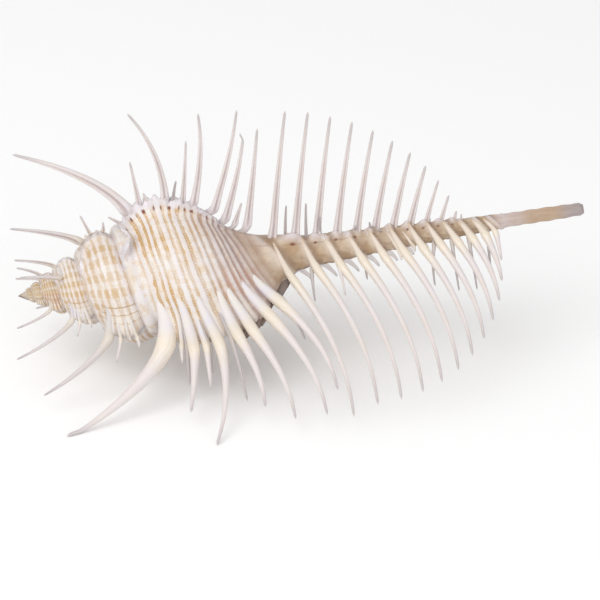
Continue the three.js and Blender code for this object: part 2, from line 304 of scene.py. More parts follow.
def relief(turn, width):
    """Height of cords plus ribs plus varix plus the canal's folds, nothing at the sutures."""
    wave = cord_wave(turn, width)
    body = 1 - smooth_step((width - CANAL_WIDTH + 12) / 9)
    base = smooth_step((width - SUTURE_WIDTH) / 2)
    low = cords_and_ribs(turn, width, wave, body, base)
    high = varices(turn, width, wave, body, base)
    low = low * smooth_step(width / 1.2) * (1 - old_edge(turn, width))
    return low + high + fold_relief(turn, width)[0]


# %% [markdown]
# The canal carries its own relief. Each spine of the lip's row began as a fold on the upper side of
# the canal and crosses its face slantwise while the snail grew, and each spine of the upper row
# stands on a knob. Both repeat at the pace of the spines, which is even with a slight swell.

# %% Relief: folds of the canal
CANAL_SPINES = [
    {"turn": 0.0, "first": 61.5, "last": 110.8, "count": 12, "swell": 0.3,
     "peak": 68.0, "end": 115.5, "reach": 38.7, "fade": 2.4,
     "lean": 0.27, "lean_gain": -1.1, "lean_fade": 14, "bend": 1.1,
     "rib": 108.0, "rib_share": 1.0, "shift": 2.6, "clear": 0.9, "flare": 0.06},
    {"turn": -1 / 3, "first": 59.6, "last": 101.2, "count": 11, "swell": 0.24,
     "peak": 62.0, "end": 103.0, "reach": 31.5, "fade": 1.8,
     "lean": 0.24, "lean_gain": 0.35, "lean_fade": 2, "bend": 0.5,
     "rib": 8.0, "rib_share": 0.5, "shift": 0.0, "clear": -2.2, "flare": 0.4},
    {"turn": -2 / 3, "first": 60.5, "last": 99.0, "count": 9, "swell": 0.24,
     "peak": 61.0, "end": 102.0, "reach": 33.5, "fade": 2.2,
     "lean": 0.22, "lean_gain": 0.1, "lean_fade": 2, "bend": 0.8,
     "rib": 12.0, "rib_share": 1.0, "shift": 0.3, "clear": 0.9, "flare": 0.1}]
FOLDS_FROM = 58.0
FOLDS_TO = 112.0
KNOBS_TO = 101.0
FOLD_DEGREES = -128.0
KNOB_DEGREES = -109.0
PIT_DEGREES = -87.0
SEAM_DEGREES = -86.0
FOLD_HEIGHT = 0.45
FOLD_SWEEP = 0.024
FOLD_SHIFT = 1.6
KNOB_HEIGHT = 1.5
CANAL_WAVE = 0.16
WORN_END = 1.2


def canal_place(row, index):
    """The place along the axis of a spine in a canal row: an even pace plus a slight swell."""
    t = index / (row["count"] - 1)
    return row["first"] + (row["last"] - row["first"]) * (t + row["swell"] * t * (1 - t))


def nearest_spine(row, along):
    """How far a place is from the nearest spine of a row, in spacings from minus to plus a half."""
    index = np.arange(-2.0, row["count"] + 1)
    number = np.interp(along, canal_place(row, index), index)
    return number - np.round(number)


def fold_relief(turn, width):
    """Height of the canal's folds, knobs, waves and worn end, with crests, shades and pits as masks."""
    along = hermite(WIDTHS, OUTLINE[:, 0], np.asarray(width, float))
    degrees = np.asarray(turn, float) * 360.0
    degrees = np.where(degrees < -200, degrees + 360, degrees)
    canal = plateau(along, FOLDS_FROM, 5, FOLDS_TO, 3)
    across = smooth_step((degrees - FOLD_DEGREES) / 16) * bell(np.maximum(degrees, 0), 9)
    off = nearest_spine(CANAL_SPINES[0], along - FOLD_SHIFT - FOLD_SWEEP * degrees)
    broad = 0.12 + 0.08 * smooth_step((degrees + 120) / 100)
    crest = bell(off, np.where(off < 0, 1.5 * broad, broad)) * canal * across
    # shade: brown painted as shade on the steep side of each fold; the thin brown seam line below the knobs
    # is carried in the same mask.
    shade = plateau(off, 0.08, 0.1, 0.22, 0.24) * canal * across
    beside = nearest_spine(CANAL_SPINES[1], along)
    upper = canal * (1 - smooth_step((along - KNOBS_TO) / 2))
    knob = bell(beside, 0.32) * bell(degrees - KNOB_DEGREES, 15) * upper
    pit = bell(beside, 0.1) * bell(degrees - PIT_DEGREES, 5.0) * upper
    seam = 0.8 * bell(degrees - SEAM_DEGREES, 1.8) * upper * (1 - smooth_step((along - 74) / 10))
    wave = np.sin(2.3 * along + 1.3 * np.sin(0.09 * degrees)) * np.sin(0.13 * degrees + 0.7 * along)
    height = FOLD_HEIGHT * crest + KNOB_HEIGHT * knob + CANAL_WAVE * wave * canal * (1 - crest)
    tail = smooth_step((along - FOLDS_TO) / 4) * np.sin(0.7 * along)
    tail = tail * np.sin(np.radians(2 * degrees) + along)
    worn = 0.5 * smooth_step((along - LENGTH + WORN_END) / WORN_END) ** 2
    height = height + CANAL_WAVE * tail - worn
    return height, np.maximum(crest, knob), np.maximum(shade, seam), pit


def surface(turn, width, lift=0.0):
    """The outline's point, pushed along the outline's own normal by the relief plus a lift."""
    step = 0.05
    along, out, size = grown_outline(width, turn)
    along_next, out_next, _ = grown_outline(width + step, turn)
    slope = unit(np.stack([along_next - along, out_next - out], axis=-1))
    height = relief(turn, width) * size + lift
    return place(along - slope[..., 1] * height, out + slope[..., 0] * height, angle_at(turn))


print("cord crest", round(float(relief(np.array(-0.5), np.array(CORD_PITCH * 6))), 2), "mm high")

# %% [markdown]
# A grid of points becomes a mesh in one way for every piece: the points go in as one array, each
# cell of the grid is a face with four corners, and values that the materials need, such as how far
# along the outline a point lies, go in as attributes of the points.

# %% From arrays to meshes
def numbered(grid, first=0):
    """Numbers for the points of a grid, row by row, from the first on."""
    return first + np.arange(grid.shape[0] * grid.shape[1]).reshape(grid.shape[:2])


def cells(table):
    """Faces between neighbours of a table of point numbers, growth down and width across."""
    corners = [table[:-1, :-1], table[1:, :-1], table[1:, 1:], table[:-1, 1:]]
    return np.stack(corners, axis=-1).reshape(-1, 4)


def fan(loop, centre):
    """Triangles, each written with its last corner twice, from a centre to a closed loop."""
    following = np.roll(loop, -1)
    middle = np.full_like(loop, centre)
    return np.stack([loop, following, middle, middle], axis=-1)


def add_object(name, data):
    """A new object with its data, linked to the scene."""
    item = bpy.data.objects.new(name, data)
    bpy.context.scene.collection.objects.link(item)
    return item


def mesh_piece(name, points, faces, values, sources=None):
    """A mesh in metres from points in millimetres; faces with a doubled corner are triangles.

    Values go to the points, or to the corners of the faces when sources says where each comes from.
    """
    used, faces = np.unique(faces, return_inverse=True)
    faces = faces.reshape(-1, 4)
    points = points[used] * MM
    points[:, 2] = np.maximum(points[:, 2], 0.0)
    three = faces[:, 2] == faces[:, 3]
    keep = np.ones(faces.shape, bool)
    keep[three, 3] = False
    sizes = keep.sum(axis=1)
    mesh = bpy.data.meshes.new(name)
    mesh.vertices.add(len(points))
    mesh.vertices.foreach_set("co", points.astype(np.float32).ravel())
    mesh.loops.add(int(sizes.sum()))
    mesh.loops.foreach_set("vertex_index", faces[keep].astype(np.int32))
    mesh.polygons.add(len(faces))
    starts = np.concatenate([[0], np.cumsum(sizes)[:-1]]).astype(np.int32)
    mesh.polygons.foreach_set("loop_start", starts)
    mesh.update(calc_edges=True)
    mesh.validate()
    mesh.shade_smooth()
    chosen = used if sources is None else sources[keep]
    for label, value in values.items():
        attribute = mesh.attributes.new(label, "FLOAT", "POINT" if sources is None else "CORNER")
        attribute.data.foreach_set("value", value[chosen].astype(np.float32))
    piece = add_object(name, mesh)
    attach(piece, "root")
    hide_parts(NODE)
    triangles = int((sizes - 2).sum())
    print(name, len(points), "points,", triangles, "triangles")
    return piece


# %% [markdown]
# The spire is one ribbon that winds round the axis five times. Each turn begins exactly where the
# turn before it ends, at the suture, so the table of point numbers simply repeats those numbers and
# the ribbon closes on itself. Two fans close it, one at the tip and one inside, under the last turn.

# %% The spire
INNER_HUB = 26.0
SPIRE_ROWS = 84
SPIRE_COLUMNS = 130
EARLY = -1.0


def surface_values(turn, width):
    """What the materials read at each point: growth, width, cords, threads, folds, as columns."""
    _, fold, shade, pit = fold_relief(turn, width)
    cord, thread = (cord_cosine(turn, width) + 1) / 2, groove_thread(turn, width)
    rows = np.broadcast_arrays(turn, width, cord, thread, fold, shade, pit, np.zeros(1))
    labels = ("turn", "width", "cord", "thread", "fold", "shade", "pit", "inside")
    return {label: row.ravel() for label, row in zip(labels, rows)}


def make_spire():
    """Surface over turns minus six to minus one and widths from suture to suture."""
    columns = (TURNS - 1) * SPIRE_COLUMNS
    turn = np.linspace(-TURNS, EARLY, columns + 1)[:, None]
    width = np.linspace(0, SUTURE_WIDTH, SPIRE_ROWS + 1)[None, :]
    grid = surface(turn, width)
    values = surface_values(turn, width)
    own = numbered(grid)
    table = own.copy()
    table[:-SPIRE_COLUMNS, -1] = table[SPIRE_COLUMNS:, 0]
    apex, hub = own.size + np.arange(2)
    ends = np.array([place(0.0, 0.0, 0.0), place(INNER_HUB, 0.0, 0.0)])
    points = np.concatenate([grid.reshape(-1, 3), ends])
    values = {label: np.concatenate([v, [v[0], v[-1]]]) for label, v in values.items()}
    top = np.concatenate([table[SPIRE_COLUMNS:0:-1, 0], table[0, :-1]])
    under = np.concatenate([table[-SPIRE_COLUMNS - 1:-1, -1], table[-1, :0:-1]])
    caps = [fan(top, apex), fan(under, hub)]
    return mesh_piece("spire", points, np.concatenate([cells(table)] + caps), values,
                      np.concatenate([cells(own)] + caps))


spire = make_spire()

# %% [markdown]
# The body whorl is the last turn of the same ribbon, but it runs on past the suture, down the base
# and along the whole canal. Along the canal the end of the turn meets its own start, so the numbers
# repeat there too. What stays open is the lip: its loop of points is drawn inwards, ring by ring,
# over a rounded rim to an oval mouth, and the mouth goes back round the axis as a shrinking tube.

# %% The body whorl, its canal and its mouth
BODY_COLUMNS = 230
UPPER_ROWS = 84
BASE_ROWS = 116
FOLD_ROWS = 108
TAIL_ROWS = 22
FOLDS_END = 113.0
MOUTH = (43.0, 12.2)
MOUTH_HALF = (9.4, 3.9)
MOUTH_SLANT = math.radians(-9)
MOUTH_DEPTH = 0.45
RIM_RINGS = 9
TUBE_RINGS = 34
RIM_SWELL = 1.1
RIM_FLARE = 3.4
HOLLOW_FROM = 47.0
HOLLOW_TO = 62.0
HUMP = 9.5
SLIT_FROM = 53.0
SLIT_ANGLE = -115.0
SLIT_HALF_WIDTH = 0.55
SLIT_FLOOR = 0.5


def slit_depth(along, out, angle):
    """How far the canal's slit cuts in: full within its half width, then easing out to nothing."""
    opening = smooth_step((along - SLIT_FROM) / 6)
    centre = SLIT_ANGLE + 30 * (1 - smooth_step((along - SLIT_FROM) / 14))
    arc = np.radians(np.mod(angle - centre + 180, 360) - 180) * out
    groove = 1 - smooth_step((np.abs(arc) - SLIT_HALF_WIDTH) / 0.35)
    return groove * opening * np.maximum(out - SLIT_FLOOR, 0)


def body_surface(turn, width):
    """The grown surface, pulled in towards the axis along the canal's slit."""
    along, out, _ = grown_outline(width, turn)
    angle = np.broadcast_to(angle_at(turn), along.shape)
    return surface(turn, width) - slit_depth(along, out, angle)[..., None] * outward(angle)


def mouth_ring(count_outer, count_inner, turn, scale):
    """An oval in the plane at a turn: half of its points on the outer side, the rest inside."""
    outer = np.linspace(np.pi, 0, count_outer, endpoint=False)
    inner = np.linspace(0, -np.pi, count_inner, endpoint=False)
    a = np.concatenate([outer, inner])
    along = MOUTH_HALF[0] * np.cos(a) * scale
    across = MOUTH_HALF[1] * np.sin(a) * scale
    size = size_at(turn)
    along, out = (MOUTH[0] + along * np.cos(MOUTH_SLANT) - across * np.sin(MOUTH_SLANT),
                  MOUTH[1] + along * np.sin(MOUTH_SLANT) + across * np.cos(MOUTH_SLANT))
    return place(along * size, out * size, LIP_ANGLE - 360 * turn)


def make_body():
    """The last turn over all widths, the rim drawn in to the mouth, and the tube behind it."""
    turn = np.linspace(EARLY, 0, BODY_COLUMNS + 1)[:, None]
    width = np.concatenate([
        np.linspace(0, SUTURE_WIDTH, UPPER_ROWS, endpoint=False),
        np.linspace(SUTURE_WIDTH, CANAL_WIDTH, BASE_ROWS, endpoint=False),
        np.linspace(CANAL_WIDTH, width_of(FOLDS_END), FOLD_ROWS, endpoint=False),
        np.linspace(width_of(FOLDS_END), FULL_WIDTH, TAIL_ROWS + 1)])[None, :]
    grid = body_surface(turn, width)
    values = surface_values(turn, width)
    canal = UPPER_ROWS + BASE_ROWS
    own = numbered(grid)
    table = own.copy()
    table[-1, canal:] = table[0, canal:]
    table[-1, 0] = table[0, UPPER_ROWS]

    loop = np.concatenate([table[-1, :canal], table[0, canal:UPPER_ROWS:-1]])
    points = grid.reshape(-1, 3)
    edge = points[loop]
    oval = mouth_ring(canal, canal - UPPER_ROWS, 0.0, 1.0)
    t = np.linspace(0, 1, RIM_RINGS + 1)[1:, None, None]
    arch = np.sin(np.pi * t) ** 0.8
    at = hermite(WIDTHS, OUTLINE[:, 0], width[0, :canal])
    dark = plateau(at, HOLLOW_FROM, 5, HOLLOW_TO, 3)
    dark = np.concatenate([dark, np.zeros(len(loop) - canal)])
    flare = RIM_FLARE * HUMP * t * (1 - t) ** 3 * dark[:, None]
    rim = edge + (oval - edge) * t + flare * outward(LIP_ANGLE)
    rim = rim + RIM_SWELL * arch * outward(LIP_ANGLE - 90)
    turns = np.linspace(0, -MOUTH_DEPTH, TUBE_RINGS + 1)[1:]
    scales = 1 - 0.55 * (turns / -MOUTH_DEPTH) ** 3
    tube = [mouth_ring(canal, canal - UPPER_ROWS, q, s) for q, s in zip(turns, scales)]
    inside = np.concatenate([rim, np.array(tube)])
    rings = numbered(inside, own.size)
    hub, back, tip = rings[-1, -1] + np.arange(1, 4)
    rings = np.concatenate([loop[None, :], rings])
    rings = np.concatenate([rings, rings[:, :1]], axis=1)

    ends = np.array([place(INNER_HUB, 0.0, 0.0), inside[-1].mean(axis=0),
                     place(LENGTH, 0.0, 0.0)])
    points = np.concatenate([points, inside.reshape(-1, 3), ends])
    depth = np.repeat(np.arange(1, inside.shape[0] + 1) / RIM_RINGS, inside.shape[1])
    fill = {label: np.zeros(len(depth) + 3) for label in values}
    fill["inside"] = np.concatenate([depth, [0.0, depth[-1], 0.0]])
    # The first rings of the rim, where the lip hollows between the spines' roots, carry a shade value that
    # the whorl finish paints dark brown as shade.
    shaded = (1 - smooth_step((t[:, 0] - 0.4) / 0.4)) * dark
    fill["shade"][:shaded.size] = shaded.ravel()
    fill["width"] = np.concatenate([np.tile(width[0, UPPER_ROWS], len(depth) + 2), [FULL_WIDTH]])
    values = {label: np.concatenate([v, fill[label]]) for label, v in values.items()}
    above = np.concatenate([table[:, 0][::-1], table[0, 1:UPPER_ROWS]])
    rest = [cells(rings), fan(rings[-1, :-1][::-1], back), fan(above, hub), fan(table[:-1, -1], tip)]
    return mesh_piece("body_whorl", points, np.concatenate([cells(table)] + rest), values,
                      np.concatenate([cells(own)] + rest))


body_whorl = make_body()

# %% [markdown]
# A spine is a fold of the lip: the mantle reached out, laid down shell round itself, and left an
# open groove on the side that faced the growth. Behind it a rib lies on the whorl and rises to the
# varix, so the spine's line starts on the surface, turns up over the varix and then runs free. The
# tube round that line is a profile swept along it, with a dent on the growth side for the groove.

# %% A profile along a path
PROFILE_CROWD = 0.6
GROOVE_HALF_ANGLE = math.radians(24)


def lengthwise(knots, count, power=1.0):
    """Points along a smooth curve through the knots, at rising shares of its length."""
    at = chord_lengths(knots)
    fine = hermite(at, knots, np.linspace(0, at[-1], 8 * count))
    run = chord_lengths(fine)
    share = np.linspace(0, 1, count) ** power
    steps = np.stack([np.interp(share * run[-1], run, fine[:, k]) for k in range(3)], axis=-1)
    return steps, share * run[-1]


def eased(path, rounds):
    """The path with each inner point moved to a mean with its neighbours, some rounds over."""
    for _ in range(rounds):
        inner = 0.25 * path[:-2] + 0.5 * path[1:-1] + 0.25 * path[2:]
        path = np.concatenate([path[:1], inner, path[-1:]])
    return path


def swept(path, radius, groove, sides):
    """Rings round a path: radius times one less the groove's dent, in a frame square to the path.

    The frame's second vector is the shell's axis made square to the path, so it never twists.
    """
    tangent = unit(np.gradient(path, axis=0))
    across = unit(ALONG - (tangent @ ALONG)[:, None] * tangent)
    front = np.cross(across, tangent)
    theta = np.linspace(-np.pi, np.pi, sides, endpoint=False)
    phi = theta - PROFILE_CROWD * np.sin(theta)
    dent = groove[:, None] * bell(phi, GROOVE_HALF_ANGLE)[None, :]
    rho = (radius[:, None] * (1 - dent))[..., None]
    ring = np.cos(phi)[None, :, None] * front[:, None, :] + np.sin(phi)[None, :, None] * across[:, None, :]
    return path[:, None, :] + rho * ring, dent, np.broadcast_to(np.sin(phi), dent.shape)


SPINE_LABELS = ("share", "groove", "rib", "side", "stain_and_shade", "canal")


class Bunch:
    """Spines gathered as arrays, to be joined in one mesh."""

    def __init__(self):
        self.points = []
        self.faces = []
        self.values = {label: [] for label in SPINE_LABELS}
        self.count = 0

    def add(self, path, radius, groove, values, sides):
        """Add one swept tube, closed at both ends by fans; values are one number a ring."""
        rings, dent, side = swept(path, radius, groove, sides)
        table = numbered(rings, self.count)
        closed = np.concatenate([table, table[:, :1]], axis=1)
        start, end = self.count + table.size + np.arange(2)
        self.points += [rings.reshape(-1, 3), path[:1], path[-1:]]
        self.faces += [cells(closed)[:, ::-1], fan(table[0][::-1], start), fan(table[-1], end)]
        known = dict(values, groove=dent, side=side)
        for label in SPINE_LABELS:
            value = np.asarray(known[label], float)
            value = value.reshape(len(path), -1) if value.size > 1 else value
            spread = np.broadcast_to(value, (len(path), sides))
            ends = [spread[0].mean(), spread[-1].mean()]
            self.values[label].append(np.concatenate([spread.ravel(), ends]))
        self.count += table.size + 2

    def mesh(self, name):
        """Join what was gathered."""
        values = {label: np.concatenate(v) for label, v in self.values.items()}
        return mesh_piece(name, np.concatenate(self.points), np.concatenate(self.faces), values)


# %% [markdown]
# Where a spine starts and ends repeats the measured solid: a place along the outline, a reach away
# from the surface and a lean along the axis, all at the lip's size. The line bows as a quadratic
# curve does. Its knots start on the rib, which lies in the surface some degrees of growth earlier.

# %% The line of a spine
BOW_PLACE = 0.55
RIB_KNOTS = np.array([-1.0, -0.75, -0.5, -0.33, -0.18])
RIB_LIFTS = np.array([-1.0, -0.55, -0.15, 0.15, 0.45])
CANAL_LIFTS = np.array([-0.35, -0.1, 0.05, 0.2, 0.45])
ROOT_DEPTH = 2.2
FREE_KNOTS = np.array([0.0, 0.12, 0.3, 0.5, 0.7, 0.86, 1.0])
KINK_FROM = 0.9
RIB_THINS = 0.55
TIP_ROUND = 3.0


def outline_slope(turn, width):
    """The unit vector along the outline, as the way from a width to one a little further on."""
    here, there = (np.array(grown_outline(width + step, turn)[:2]) for step in (0.0, 0.1))
    return unit(there - here)


def foot_width(turn, along, risen, out):
    """The width whose normal meets a point: the way there, laid along the outline's own slope."""
    width = grown_width(along, turn)
    _, wall, size = grown_outline(width, turn)
    slope = outline_slope(turn, width)
    return width + (risen * slope[0] + (out - wall) * slope[1]) / size


def share_to_clear(turn, width, reach, lean, height):
    """The share of a spine's curve below a height over the wall, from its speed along the normal."""
    slope = outline_slope(turn, width)
    speed = 2 * (reach * BOW_PLACE * slope[0] - lean * slope[1])
    return np.clip((height + slope[0]) / speed, 0.03, 0.5)


def spine_line(turn, start, reach, lean, kind, clear):
    """Knots of one spine: rib points on the surface, then a quadratic curve from past the varix.

    start is the distance along and from the axis where the curve begins, as in the solid, and
    clear is the share of the curve that the varix hides, which the rib's turn replaces. The rib
    begins on a cord and comes in to where the curve leaves the surface.
    """
    size = size_at(turn)
    bend = kind["bend"]
    risen = 2 * clear * (1 - clear) * lean * bend + clear ** 2 * lean
    climb = 2 * clear * (1 - clear) * reach * BOW_PLACE + clear ** 2 * reach
    width = foot_width(turn, start[0], risen, start[1] + climb)
    turns = turn + RIB_KNOTS * kind["rib"] / 360.0
    if kind["canal"]:
        alongs = grown_outline(width, turn)[0] + RIB_KNOTS * kind["shift"]
        widths = np.array([grown_width(along, at) for along, at in zip(alongs, turns)])
        lifts = CANAL_LIFTS if clear > 0 else CANAL_LIFTS - ROOT_DEPTH
    else:
        cord = np.round(width / CORD_PITCH)
        cord = cord * CORD_PITCH - CORD_WARP * np.sin(2 * np.pi * cord / 3)
        widths = width + (cord - width) * RIB_KNOTS ** 2
        lifts = RIB_LIFTS * size
    rib = surface(turns, widths, lifts)
    angle = angle_at(turn)
    out = outward(angle)
    away = outward(angle + 90.0) * kind["away"] * size
    p0 = place(start[0], start[1], angle)
    p1 = p0 + out * reach * BOW_PLACE + ALONG * lean * bend
    p2 = p0 + out * reach + ALONG * lean + away
    u = (clear + (1 - clear) * FREE_KNOTS)[:, None]
    free = (1 - u) ** 2 * p0 + 2 * u * (1 - u) * p1 + u ** 2 * p2
    return np.concatenate([rib, free])


def add_spine(bunch, knots, root, tip, groove, kind):
    """Sweep a spine along its eased line: thin on the rib, full at the varix, falling to the tip."""
    path, run = lengthwise(knots, kind["rings"])
    lengths = chord_lengths(knots)
    free = lengths[len(RIB_KNOTS)] / lengths[-1]
    path = eased(path, kind["ease"])
    share = run / run[-1]
    v = (share - free) / (1 - free)
    on_rib = np.clip(-v / max(free / (1 - free), 1e-6), 0, 1)
    taper = root + (tip - root) * np.clip(v, 0, 1)
    flare = 1 + kind["flare"] * bell(np.maximum(v, 0), kind["flare_share"])
    thinning = (RIB_THINS + 0.1 * kind["canal"]) * on_rib ** kind["rib_fall"]
    radius = taper * flare * (1 - thinning)
    close = np.clip((1 - share) * run[-1] / (TIP_ROUND * tip), 0, 1)
    radius = radius * np.sqrt(np.clip(1 - (1 - close) ** 2, 0.02, 1))
    depth = groove * smooth_step((v + 0.03) / 0.08) * (1 - 0.75 * smooth_step((v - 0.35) / 0.6))
    kink = smooth_step((v - KINK_FROM) / (1 - KINK_FROM)) * kind["kink"]
    path = path - kink[:, None] * ALONG
    path[:, 2] = np.maximum(path[:, 2], 0.95 * radius)
    radius = radius * (1 - 0.3 * np.sign(kink))
    values = {"share": np.clip(v, 0, 1), "rib": on_rib, "stain_and_shade": kind["stain_and_shade"],
              "canal": kind["canal"]}
    bunch.add(path, radius, depth, values, kind["sides"])


# %% [markdown]
# Each varix has its own list of spines, read from the photo: the place along the outline, the reach
# and the lean at the lip's size, how the lean is spread along the spine, and the kind. The lip's
# own spines have the broadest feet. The older varices carry the same few spines, smaller by the
# growth, because each one was a lip once.

# %% Spines of the whorls
PLAIN = {"away": 0.0, "kink": 0.0, "stain_and_shade": 0.0, "canal": 0.0, "flare": 0.14, "flare_share": 0.1,
         "rib_fall": 0.7, "ease": 5}
BIG = dict(PLAIN, root=1.75, tip=0.32, rings=50, sides=20, rib=34.0)
LONG = dict(PLAIN, root=1.12, tip=0.3, rings=44, sides=18, rib=44.0)
SHORT = dict(PLAIN, root=0.8, tip=0.24, rings=26, sides=14, rib=30.0)
BROKEN = dict(LONG, kink=0.9)
LIP_BIG = dict(BIG, root=1.8, flare=0.28, flare_share=0.3, rib_fall=1.5, ease=16)
LIP_LONG = dict(LONG, flare=0.24, flare_share=0.22, rib_fall=1.5, ease=10)
# GREY spines stand in the lee of others: the grey that covers them is painted shade.
GREY = dict(SHORT, root=0.55, tip=0.18, stain_and_shade=1.0, away=-3.5)
THORN = dict(SHORT, root=0.55, tip=0.18)
LIP_SPINES = [
    (34.5, 23.6, -26.9, 0.15, LIP_BIG), (37.3, 11.2, -0.9, 0.5, GREY), (39.0, 19.6, -3.0, 0.2, LIP_LONG),
    (41.5, 14.4, -0.3, 0.5, SHORT), (43.9, 28.9, -3.2, -0.9, LIP_LONG), (47.1, 22.2, 5.6, 1.1, LIP_LONG),
    (50.1, 27.4, 8.9, 1.0, LIP_LONG), (54.3, 30.0, 11.8, 1.0, LIP_LONG), (57.0, 26.9, 12.3, 1.0, LIP_LONG),
    (33.0, 9.0, -4.5, 0.3, GREY), (36.0, 8.0, -0.5, 0.3, THORN), (42.6, 8.7, -0.8, 0.5, GREY),
    (46.6, 18.0, 2.2, 0.8, GREY), (58.4, 12.5, 5.5, 0.7, GREY)]
UPPER_SPINES = [
    (35.0, 25.7, -28.9, 0.1, BIG), (37.1, 17.1, -0.7, 0.5, SHORT), (39.5, 6.5, -1.0, 0.5, SHORT),
    (43.3, 30.6, -5.3, -0.6, LONG), (44.9, 10.9, 2.9, 0.5, GREY), (47.6, 21.5, 4.5, 0.6, SHORT),
    (49.8, 29.6, 6.6, 1.0, LONG), (54.4, 31.8, 12.3, 0.7, LONG), (57.1, 27.9, 10.2, 0.7, BROKEN),
    (58.5, 8.5, 4.0, 0.5, SHORT), (60.0, 31.5, 7.7, 0.6, LONG), (41.0, 5.0, -2.5, 0.5, THORN),
    (33.0, 4.0, -5.0, 0.4, THORN)]
HIDDEN_SPINES = [
    (35.0, 25.0, -28.0, 0.15, BIG), (39.5, 20.0, -4.0, 0.2, LONG), (44.0, 27.0, -3.0, -0.7, LONG),
    (48.5, 25.0, 4.5, 0.8, LONG), (52.5, 33.0, 7.0, 0.8, LONG), (57.0, 36.5, 8.0, 0.8, LONG),
    (60.6, 37.0, 9.0, 0.8, LONG)]
OLD_VARICES = [
    (-1.0, 23.7, -29.3), (-4 / 3, 13.5, -32.6), (-5 / 3, 22.0, -30.0), (-2.0, 24.4, -39.8),
    (-2.22, 15.0, -29.0), (-2.5, 13.0, -35.0), (-2.6, 30.0, -39.0), (-3.0, 17.4, -39.5),
    (-10 / 3, 18.0, -30.0)]
OLD_BIG = dict(BIG, stain_and_shade=0.45)
OLD_SHORTS = [(38.0, 13.0, -3.9, 0.5, THORN), (42.8, 7.5, 0.8, 0.5, THORN),
              (40.2, 4.0, 0.0, 0.5, THORN), (36.0, 3.0, -0.5, 0.5, THORN)]
OLD_SHORTS_FROM = -2.0
LEAST_ROOT = 0.42
LEAST_TIP = 0.22
GROOVE_DEPTH = 0.72


def add_varix_spines(bunch, spines, turn, rib_share=1.0):
    """The spines of one varix, each carried on the cord that lies at its place."""
    size = size_at(turn)
    for along, reach, lean, bend, kind in spines:
        grown, wall, _ = grown_outline(width_of(along), turn)
        start = (grown, wall - size)
        reach_now, lean_now = (reach + 1) * size, lean * size
        clear = share_to_clear(turn, width_of(along), reach + 1, lean * bend, VARIX_HEIGHT + 1.1)
        kind = dict(kind, bend=bend, rib=kind["rib"] * rib_share)
        knots = spine_line(turn, start, reach_now, lean_now, kind, clear)
        root = max(kind["root"] * size, LEAST_ROOT)
        tip = max(kind["tip"] * size, LEAST_TIP)
        add_spine(bunch, knots, root, tip, GROOVE_DEPTH, kind)


# %% [markdown]
# Along the canal the spines stand at an even pace that widens towards the end, long beside the body
# and dying away towards the tip. Their ribs cross the canal slantwise from the row before.

# %% Spines of the canal
STOUT_FROM = 12.0


def add_canal_spine(bunch, row, along, length, lean, kind):
    """One spine of a canal row, at the end of a rib that starts nearer the body."""
    turn = row["turn"]
    _, wall, _ = grown_outline(grown_width(along, turn), turn)
    start = (along, max(wall - ROOT_DEPTH, 0.3))
    reach = length + wall - start[1]
    clear = np.clip((wall - start[1] + row["clear"]) / reach, 0.0, 0.6)
    kind = dict(kind, canal=1.0, **{label: row[label] for label in ("bend", "rib", "shift", "flare")})
    knots = spine_line(turn, start, reach, lean, kind, clear)
    add_spine(bunch, knots, kind["root"] * 0.9, kind["tip"], GROOVE_DEPTH, kind)


def add_canal_spines(bunch, row, shorts):
    """A whole canal row: long spines by the fading rule, then the listed short ones."""
    for index in range(row["count"]):
        along = canal_place(row, index)
        past = max(along - row["peak"], 0) / (row["end"] - row["peak"])
        length = row["reach"] * (1 - past ** row["fade"])
        lean = (row["lean"] + row["lean_gain"] * past ** row["lean_fade"]) * length
        add_canal_spine(bunch, row, along, length, lean, LONG if length > STOUT_FROM else SHORT)
    for along, length, lean, rib, kind in shorts:
        add_canal_spine(bunch, dict(row, rib=rib, shift=rib * FOLD_SWEEP), along, length, lean, kind)


LIP_CANAL_SHORTS = [
    (68.2, 8.0, -0.8, 10.0, GREY), (73.4, 10.0, 1.0, 118.0, THORN), (81.6, 5.0, -1.6, 8.0, GREY),
    (87.4, 3.6, 1.0, 110.0, THORN), (91.0, 2.0, 0.8, 100.0, THORN), (97.5, 10.0, -2.4, 8.0, GREY),
    (100.6, 12.5, -0.3, 8.0, GREY), (104.4, 13.0, 0.0, 8.0, GREY), (109.4, 8.5, -1.0, 8.0, GREY)]
UPPER_CANAL_SHORTS = [
    (62.6, 9.8, 1.6, 20.0, GREY), (67.4, 10.5, 1.3, 20.0, GREY), (70.7, 6.6, 0.7, 20.0, GREY),
    (78.7, 3.2, 0.4, 14.0, GREY), (82.4, 3.8, 0.0, 14.0, GREY), (85.2, 1.6, -1.0, 14.0, GREY),
    (96.0, 1.6, 0.3, 8.0, THORN), (103.2, 1.6, 0.4, 8.0, THORN)]
HIDDEN_CANAL_SHORTS = [
    (64.0, 8.0, 0.5, 12.0, THORN), (74.0, 7.0, 0.5, 12.0, THORN), (84.0, 5.0, 0.4, 12.0, THORN)]


def make_row(name, spines, row, shorts):
    """All spines of one varix of the last turn, from its shoulder to the end of the canal."""
    bunch = Bunch()
    add_varix_spines(bunch, spines, row["turn"], row["rib_share"])
    add_canal_spines(bunch, row, shorts)
    return bunch.mesh(name)


lip_spines = make_row("lip_spines", LIP_SPINES, CANAL_SPINES[0], LIP_CANAL_SHORTS)
upper_spines = make_row("upper_spines", UPPER_SPINES, CANAL_SPINES[1], UPPER_CANAL_SHORTS)
hidden_spines = make_row("hidden_spines", HIDDEN_SPINES, CANAL_SPINES[2], HIDDEN_CANAL_SHORTS)

